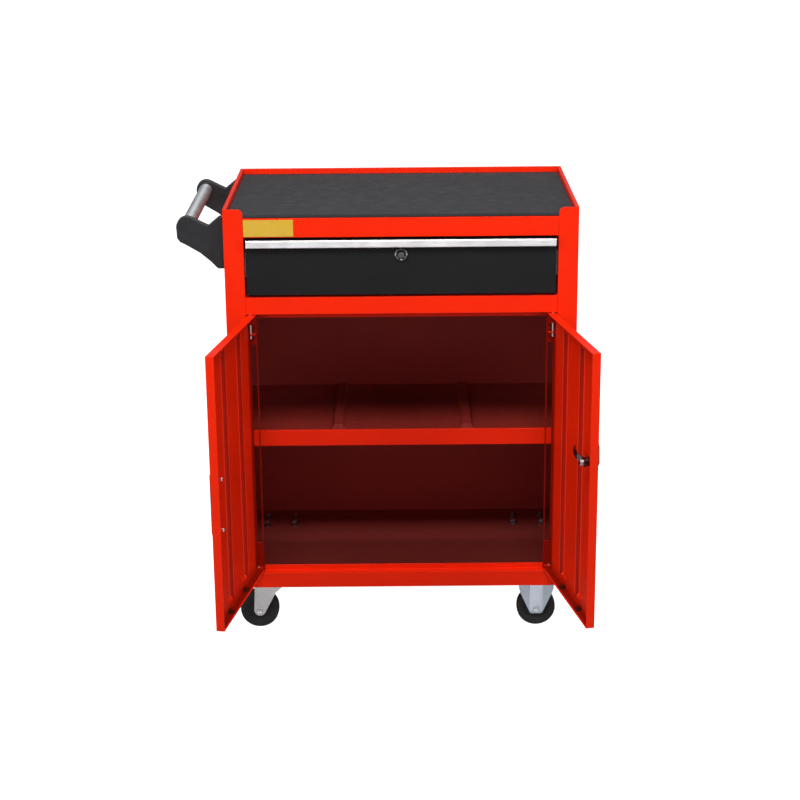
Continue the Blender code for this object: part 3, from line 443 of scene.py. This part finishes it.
def door_painted_shade_and_highlights(side):
    """Painted shade: darker red in the folds and along the ribs, and a dark spot at the foot of each rib;
    painted highlights: light lines beside each rib's slope.
    """
    hinge = middle_of(side + "_door_top_pin")
    inward = inward_of(side)
    reach = Vector((-inward.y, inward.x, 0.0))
    if reach.y > 0:
        reach = -reach
    low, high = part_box(side + "_door_panel")
    half_height = (high.z - low.z) / 2
    foot = Vector((hinge.x, hinge.y, low.z))
    upward = Vector(UPWARDS)

    def rib_painted_shade_and_highlights(made, centre, from_hinge, mask):
        # painted shade on the rib's hinge-side slope, painted highlights on a line each side of it
        slope = centre - RIB_HALF
        made.tint(made.times(made.near(from_hinge, slope, *SLOPE_BAND), mask), PAINTED_SHADE_SLOPE_RED)
        for offset in LINES:
            made.tint(made.times(made.near(from_hinge, slope + offset, *LINE_BAND), mask), PAINTED_HIGHLIGHT_RED)

    def tones(made):
        from_hinge = made.along(foot, reach)
        height = made.along(foot, upward)
        depth = made.along(foot, inward)
        looks_in = made.facing(inward)
        on_ribs = made.times(made.near(height, half_height, *RIB_LENGTH), looks_in)
        for centre in RIBS:
            rib_painted_shade_and_highlights(made, centre, from_hinge, on_ribs)
        # painted shade in the hinge fold, on the bottom fold and towards the foot of the door
        hinge_side = made.facing((reach + inward).normalized())
        made.tint(made.times(made.remap(from_hinge, *HINGE_FOLD), hinge_side), PAINTED_SHADE_RED)
        on_fold = made.times(made.remap(height, *BOTTOM_FOLD), made.facing(upward, 0.5, 0.8))
        made.tint(made.times(on_fold, made.remap(depth, *FOLD_LIP)), PAINTED_SHADE_RED)
        made.tint(made.times(made.remap(height, *FOOT_SHADE), looks_in), PAINTED_SHADE_RED)
        inside = made.facing((inward + upward).normalized(), 0.4, 0.6)
        # painted shade: a dark spot on the bottom fold at the foot of each rib
        for centre in RIBS:
            along = made.near(from_hinge, centre + SPOT_OFFSET, *SPOT_ALONG)
            spot = made.times(along, made.near(height, *SPOT_HEIGHT))
            spot = made.times(spot, made.near(depth, *SPOT_DEPTH))
            made.tint(made.times(spot, inside), PAINTED_SHADE_SPOT)

    return tones


for side_name in SIDES:
    door_enamel = red_enamel("red enamel of the " + side_name + " door", door_painted_shade_and_highlights(side_name))
    dress(side_name + "_door_panel", door_enamel)


# ---- softened edges on the folded sheet ------------------------------------------------------------------
SHEET_NODES = ("left_side_panel", "right_side_panel", "back_panel", "floor_panel", "header_rail",
               "middle_rail", "sill_rail", "worktop_panel", "shelf", "drawer_front", "drawer_box",
               "left_door_panel", "right_door_panel")
WELD_DISTANCE = 0.00002
FOLD_RADIUS = 0.0005
FOLD_STEPS = 2
FOLD_ANGLE = math.radians(35)   # an edge sharper than this is a fold


def soften(node):
    """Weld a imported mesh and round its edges, as folded sheet has them."""
    obj = NODES[node]
    weld = obj.modifiers.new("weld", 'WELD')
    weld.merge_threshold = WELD_DISTANCE
    rounding = obj.modifiers.new("edges", 'BEVEL')
    rounding.width = FOLD_RADIUS
    rounding.segments = FOLD_STEPS
    rounding.limit_method = 'ANGLE'
    rounding.angle_limit = FOLD_ANGLE
    rounding.harden_normals = True


for sheet_node in SHEET_NODES:
    soften(sheet_node)


# ---- tools for new pieces --------------------------------------------------------------------------------
def new_object(name, data):
    """A new object in the scene."""
    obj = bpy.data.objects.new(name, data)
    bpy.context.scene.collection.objects.link(obj)
    return obj


def new_mesh(name, bm):
    """A mesh made from a bmesh, which is freed."""
    mesh = bpy.data.meshes.new(name)
    bm.to_mesh(mesh)
    bm.free()
    return mesh


def piece(name, bm, material, body, smooth_angle=32.0):
    """A finished mesh that rides on a body."""
    bmesh.ops.recalc_face_normals(bm, faces=bm.faces)
    mesh = new_mesh(name, bm)
    obj = new_object(name, mesh)
    mesh.materials.append(material)
    mesh.shade_smooth()
    mesh.set_sharp_from_angle(angle=math.radians(smooth_angle))
    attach(obj, body)
    return obj


def bridge(bm, low, high):
    """Join two closed loops of vertices with four-sided faces."""
    for i in range(len(low)):
        j = (i + 1) % len(low)
        bm.faces.new((low[i], low[j], high[j], high[i]))


def lathe(bm, profile, centre, axis, steps, closed=True):
    """Turn (radius, distance along the axis) points about an axis; an open profile gets end caps."""
    along = Vector(axis).normalized()
    side = along.orthogonal().normalized()
    up = along.cross(side)
    rings = []
    for radius, distance in profile:
        ring = []
        for i in range(steps):
            angle = 2 * math.pi * i / steps
            offset = side * math.cos(angle) * radius + up * math.sin(angle) * radius
            ring.append(bm.verts.new(Vector(centre) + along * distance + offset))
        rings.append(ring)
    for low, high in zip(rings, rings[1:]):
        bridge(bm, low, high)
    if closed:
        bridge(bm, rings[-1], rings[0])
    else:
        bm.faces.new(list(reversed(rings[0])))
        bm.faces.new(rings[-1])


def arc_points(centre, radius, start, end, steps):
    """Points of an arc, from one angle in degrees to another."""
    points = []
    for i in range(steps + 1):
        angle = math.radians(start + (end - start) * i / steps)
        points.append((centre[0] + radius * math.cos(angle), centre[1] + radius * math.sin(angle)))
    return points


def mirrored(profile):
    """A profile and its mirror image at the other end of the axis."""
    return profile + [(radius, -distance) for radius, distance in reversed(profile)]


# ---- castor wheels ---------------------------------------------------------------------------------------
WHEEL_STEPS = 72
BOSS_HEIGHT = 0.0014            # of the boss above the wheel's face
BOSS_OUTLINE = ((0.0046, 0.0), (0.0088, 0.0), (0.0096, 0.0008))     # radius, depth below the boss
# radius, depth below the wheel's face: the hollow round the boss, a step, the face and a fine groove
SIDE_OUTLINE = ((0.0102, 0.0028), (0.0215, 0.0028), (0.0226, 0.0012), (0.0250, 0.0012), (0.0258, 0.0002),
                (0.0282, 0.0), (0.0286, 0.0006), (0.0293, 0.0006), (0.0297, 0.0))
SHOULDER = 0.0034               # radius of the tread's rounded shoulders
CROWN = 0.0004                  # of the tread's middle above its shoulders
TREAD_OUTLINE = ((0.0001, 0.004), (0.0, 0.0009), (0.0005, 0.0004))  # depth, distance from the middle


def wheel(node, body):
    """A solid wheel: crowned tread with rounded shoulders, a step and a hollow in each side, and a boss."""
    low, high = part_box(node)
    radius = (high.x - low.x) / 2
    half = (high.y - low.y) / 2
    face = half - BOSS_HEIGHT
    side = [(from_axis, half - depth) for from_axis, depth in BOSS_OUTLINE]
    side += [(from_axis, face - depth) for from_axis, depth in SIDE_OUTLINE]
    side += arc_points((radius - SHOULDER - CROWN, face - SHOULDER), SHOULDER, start=90, end=12, steps=6)
    side += [(radius - depth, from_middle) for depth, from_middle in TREAD_OUTLINE]
    bm = bmesh.new()
    lathe(bm, mirrored(side), (low + high) / 2, BACKWARDS, WHEEL_STEPS)
    made = piece("visual_" + node, bm, FINISHES["tyre"], body)
    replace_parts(made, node)


for end_name in ENDS:
    wheel("rigid_castor_wheel_" + end_name, "rigid_wheel_" + end_name)
    wheel("swivel_castor_wheel_" + end_name, "swivel_wheel_" + end_name)


# ---- castor brackets and axles ---------------------------------------------------------------------------
STUD_HEIGHT = 0.0105            # of the studs above a castor plate
PLATE_THICKNESS = 0.0025
CHEEK = 0.0162                  # outer face of a bracket's cheek from the middle of the wheel
PLATEAU_HALF = 0.0136           # half width of the plateau pressed into a rigid bracket
PLATEAU_TOP = 0.0032            # its upper end, below the plate
PLATEAU_FOOT = 0.0055           # its lower end, below the axle
PLATEAU_CORNER = 0.0030         # the cut of its two lower corners
PLATEAU_RISE = 0.0017
PLATEAU_SLOPE = 0.0016
# inset from its outline, height above the cheek: it starts inside the cheek, and its rim is rounded
PLATEAU_RIM = ((0.0, -0.0008), (0.0, 0.0001), (0.3 * PLATEAU_SLOPE, 0.35 * PLATEAU_RISE),
               (0.8 * PLATEAU_SLOPE, 0.85 * PLATEAU_RISE), (PLATEAU_SLOPE, PLATEAU_RISE))
AXLE_STEPS = 40
# radius, depth below the rivet's end
RIVET_DISH = ((0.0001, 0.0015), (0.0016, 0.0015), (0.0030, 0.0012))
# inset from the head's rim, depth below the rivet's end
RIVET_RIM = ((0.0020, 0.0003), (0.0014, 0.0), (0.0006, 0.0008), (0.0, 0.0024), (0.0, 0.0042))
SHANK_RADIUS = 0.0040
SHANK_START = 0.0042            # below the rivet's end


def plateau(end):
    """A broad plateau pressed outwards down the middle of both cheeks of a rigid bracket."""
    axle_at = middle_of("rigid_castor_axle_" + end)
    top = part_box("swivel_castor_plate_" + end)[1].z - STUD_HEIGHT - PLATE_THICKNESS - PLATEAU_TOP
    bm = bmesh.new()
    for outwards in (-1, 1):
        loops = []
        for inset, rise in PLATEAU_RIM:
            half = PLATEAU_HALF - inset
            y = axle_at.y + outwards * (CHEEK + rise)
            foot = axle_at.z - PLATEAU_FOOT + inset
            shoulder = foot + PLATEAU_CORNER
            toe = half - PLATEAU_CORNER
            outline = ((-half, top), (-half, shoulder), (-toe, foot),
                       (toe, foot), (half, shoulder), (half, top))
            loops.append([bm.verts.new((axle_at.x + x, y, z)) for x, z in outline])
        for inner, outer in zip(loops, loops[1:]):
            bridge(bm, inner, outer)
        bm.faces.new(loops[0])
        bm.faces.new(loops[-1])
    # the plateau in the lit copy of the blue zinc: painted light
    piece("rigid_bracket_plateau_" + end, bm, PAINTED_LIGHT_PLATEAU_ZINC, "cabinet", smooth_angle=30.0)


def axle(node, body):
    """A rivet through the fork: rolled heads, each with a dished middle."""
    low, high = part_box(node)
    half = (high.y - low.y) / 2
    radius = (high.x - low.x) / 2
    head = [(from_axis, half - depth) for from_axis, depth in RIVET_DISH]
    head += [(radius - inset, half - depth) for inset, depth in RIVET_RIM]
    head += [(SHANK_RADIUS, half - SHANK_START)]
    bm = bmesh.new()
    lathe(bm, mirrored(head), (low + high) / 2, BACKWARDS, AXLE_STEPS, closed=False)
    made = piece("visual_" + node, bm, FINISHES["zinc"], body)
    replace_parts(made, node)


for end_name in ENDS:
    plateau(end_name)
    axle("rigid_castor_axle_" + end_name, "cabinet")
    axle("swivel_castor_axle_" + end_name, "swivel_" + end_name)


# ---- drawer lock -----------------------------------------------------------------------------------------
LOCK_STEPS = 64
LOCK_BORE = 0.0059
# radius, height before the drawer's front: the sunk face between the bore and the rim
LOCK_FACE = ((LOCK_BORE, 0.0010), (0.0066, 0.0014), (0.0080, 0.0012), (0.0085, 0.0016))
RIM_ROUND = 0.0017              # radius of the rim's rounding
RIM_SIDE = 0.0010               # height before the front at which the rim's side ends
RIM_FOOT = 0.0003               # cut of the rim's foot, and its gap from the front
BARREL_RADIUS = 0.0090
PAINTED_HIGHLIGHT_INSET = 0.0010           # of the painted highlights' middles from the ring's outer edge
PAINTED_HIGHLIGHT_WIDTH = (0.0011, 0.0022)             # half width of a painted highlight, and where it has faded out
PAINTED_HIGHLIGHT_HEIGHT = (0.0010, 0.0014, 0.0036)    # its middle above the lock's, half height, and the same
PAINTED_HIGHLIGHT_COLOUR = (0.95, 0.95, 0.96)


def painted_highlight_sides(centre, reach):
    """Painted highlights on a ring, at its left and its right."""
    def lay(made):
        across = made.along(centre, ACROSS)
        height = made.near(made.along(centre, UPWARDS), *PAINTED_HIGHLIGHT_HEIGHT)
        for side in (-reach, reach):
            made.tint(made.times(made.near(across, side, *PAINTED_HIGHLIGHT_WIDTH), height), PAINTED_HIGHLIGHT_COLOUR)
    return lay


def drawer_lock():
    """A ring with a rounded rim round a sunk face, and the barrel behind it."""
    low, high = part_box("drawer_lock_body")
    centre = ((low.x + high.x) / 2, FRONT, (low.z + high.z) / 2)
    behind = high.y - FRONT
    front = FRONT - low.y
    outer = (high.x - low.x) / 2
    profile = [(LOCK_BORE, -behind), *LOCK_FACE]
    rim_middle = (outer - RIM_ROUND, front - RIM_ROUND)
    profile += arc_points(rim_middle, RIM_ROUND, start=170, end=0, steps=10)
    profile += [(outer, RIM_SIDE), (outer - RIM_FOOT, RIM_FOOT)]
    profile += [(BARREL_RADIUS, RIM_FOOT), (BARREL_RADIUS, -behind)]
    bm = bmesh.new()
    lathe(bm, profile, centre, FORWARDS, LOCK_STEPS)
    # painted highlights on the ring, at its left and its right
    rubbed_wear_and_painted_highlights = painted_highlight_sides(centre, outer - PAINTED_HIGHLIGHT_INSET)
    ring = metal("chrome with painted highlights", (0.13, 0.128, 0.132), 0.14, EVEN, scratch=0.02, stain=0.15, tones=rubbed_wear_and_painted_highlights)
    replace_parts(piece("visual_drawer_lock_body", bm, ring, "drawer"), "drawer_lock_body")


drawer_lock()


# ---- castor nuts inside the cabinet ----------------------------------------------------------------------
BOLT_SPACING = (0.057, 0.038)
NUT_BORE = 0.0042               # a little wider than a stud
WASHER_BORE = 0.0044
WASHER_STEPS = 24
NUT_SIDES = 6
WASHER_AT = FLOOR_TOP + 0.0001  # height of a washer's underside
NUT_AT = WASHER_AT + 0.0015     # and of a nut's
# radius, height above the underside
WASHER = ((WASHER_BORE, 0.0), (0.0085, 0.0), (0.0087, 0.0005), (0.0085, 0.0014), (WASHER_BORE, 0.0014))
NUT = ((NUT_BORE, 0.0), (0.0066, 0.0), (0.0073, 0.0007), (0.0073, 0.0056), (0.0064, 0.0064),
       (NUT_BORE + 0.0004, 0.0064))


def castor_nuts(name, centre):
    """Four washers and nuts on the studs that come up through the floor."""
    bm = bmesh.new()
    for sx in (-0.5, 0.5):
        for sy in (-0.5, 0.5):
            x, y = centre.x + sx * BOLT_SPACING[0], centre.y + sy * BOLT_SPACING[1]
            lathe(bm, WASHER, (x, y, WASHER_AT), UPWARDS, WASHER_STEPS)
            lathe(bm, NUT, (x, y, NUT_AT), UPWARDS, NUT_SIDES)
    piece(name, bm, DULL_ZINC, "cabinet", smooth_angle=20.0)


for end_name in ENDS:
    castor_nuts("rigid_castor_nuts_" + end_name, middle_of("rigid_castor_bracket_" + end_name))
    castor_nuts("swivel_castor_nuts_" + end_name, middle_of("swivel_castor_plate_" + end_name))


# ---- floor and surroundings ------------------------------------------------------------------------------
WHITE = (1.0, 1.0, 1.0, 1.0)
FLOOR_REACH = 30.0
FLOOR_TONE = (0.60, 0.60, 0.60)
FLOOR_GLOW = 1.00               # makes the floor white where the camera sees it
AROUND_TONE = (0.98, 0.99, 1.0, 1.0)
AROUND_STRENGTH = 0.18


def pale_floor():
    """A wide floor that the camera sees as white. It sheds no light on what stands on it."""
    bm = bmesh.new()
    corners = ((-FLOOR_REACH, -FLOOR_REACH), (FLOOR_REACH, -FLOOR_REACH),
               (FLOOR_REACH, FLOOR_REACH), (-FLOOR_REACH, FLOOR_REACH))
    bm.faces.new([bm.verts.new((x, y, 0)) for x, y in corners])
    floor = new_object("floor", new_mesh("floor", bm))
    pale = Finish("pale floor", FLOOR_TONE, 0.85, Specular_IOR_Level=0.1)
    pale.shader.inputs["Emission Color"].default_value = WHITE
    seen_directly = pale.nodes.new("ShaderNodeLightPath").outputs["Is Camera Ray"]
    glow = pale.remap(seen_directly, 0.0, 1.0, 0.0, FLOOR_GLOW)
    pale.links.new(glow, pale.shader.inputs["Emission Strength"])
    floor.data.materials.append(pale.material)
    floor.visible_diffuse = False


def surroundings():
    """A white background for the camera, and a dim, slightly blue one for everything else."""
    world = bpy.data.worlds.new("studio")
    world.use_nodes = True
    tree = world.node_tree
    seen = tree.nodes["Background"]
    seen.inputs["Color"].default_value = WHITE
    seen.inputs["Strength"].default_value = 1.0
    around = tree.nodes.new("ShaderNodeBackground")
    around.inputs["Color"].default_value = AROUND_TONE
    around.inputs["Strength"].default_value = AROUND_STRENGTH
    path = tree.nodes.new("ShaderNodeLightPath")
    mix = tree.nodes.new("ShaderNodeMixShader")
    tree.links.new(path.outputs["Is Camera Ray"], mix.inputs["Fac"])
    tree.links.new(around.outputs["Background"], mix.inputs[1])
    tree.links.new(seen.outputs["Background"], mix.inputs[2])
    tree.links.new(mix.outputs["Shader"], tree.nodes["World Output"].inputs["Surface"])
    bpy.context.scene.world = world


# ---- lights ----------------------------------------------------------------------------------------------
# name, place, what it is turned to, width and height, watts
SOFTBOXES = (
    ("key", (0.0, -1.75, 2.75), (0.0, 0.0, 0.60), (1.5, 0.8), 75.0),
    ("left", (-2.4, -1.9, 1.7), (0.0, 0.0, 0.55), (0.9, 1.6), 42.0),
    ("right", (2.4, -1.9, 1.7), (0.0, 0.0, 0.55), (0.9, 1.6), 34.0),
    ("back", (0.0, 2.5, 3.2), (0.0, 0.0, 0.45), (1.6, 1.0), 30.0),
)


def softbox(name, location, target, size, power):
    """A rectangular area light turned to a point."""
    light = bpy.data.lights.new(name, 'AREA')
    light.shape = 'RECTANGLE'
    light.size, light.size_y = size
    light.energy = power
    obj = new_object(name, light)
    obj.location = location
    obj.rotation_euler = (Vector(target) - Vector(location)).to_track_quat('-Z', 'Y').to_euler()


# ---- camera: the viewpoint of the photograph, from a fit to the cabinet's corners ------------------------
EYE = Vector((MIDDLE + 0.0038, FRONT - 3.2228, 1.5023))
YAW, PITCH, ROLL = 0.0005, 0.3070, -0.0084      # radians
SENSOR_WIDTH = 36.0
FOCAL_LENGTH = 82.28
LENS_SHIFT = (-0.0044, -0.0017)


def camera():
    """The scene's camera, at the photograph's viewpoint."""
    right = Vector((math.cos(YAW), math.sin(YAW), 0.0))
    forward = Vector((-math.sin(YAW) * math.cos(PITCH), math.cos(YAW) * math.cos(PITCH), -math.sin(PITCH)))
    up = right.cross(forward)
    rolled_right = right * math.cos(ROLL) + up * math.sin(ROLL)
    rolled_up = up * math.cos(ROLL) - right * math.sin(ROLL)
    turn = Matrix((rolled_right, rolled_up, -forward)).transposed().to_4x4()
    data = bpy.data.cameras.new("camera")
    data.sensor_width = SENSOR_WIDTH
    data.lens = FOCAL_LENGTH
    data.shift_x, data.shift_y = LENS_SHIFT
    obj = new_object("camera", data)
    obj.matrix_world = Matrix.Translation(EYE) @ turn
    bpy.context.scene.camera = obj


pale_floor()
surroundings()
for softbox_values in SOFTBOXES:
    softbox(*softbox_values)
camera()
bpy.context.scene.view_settings.view_transform = 'Standard'
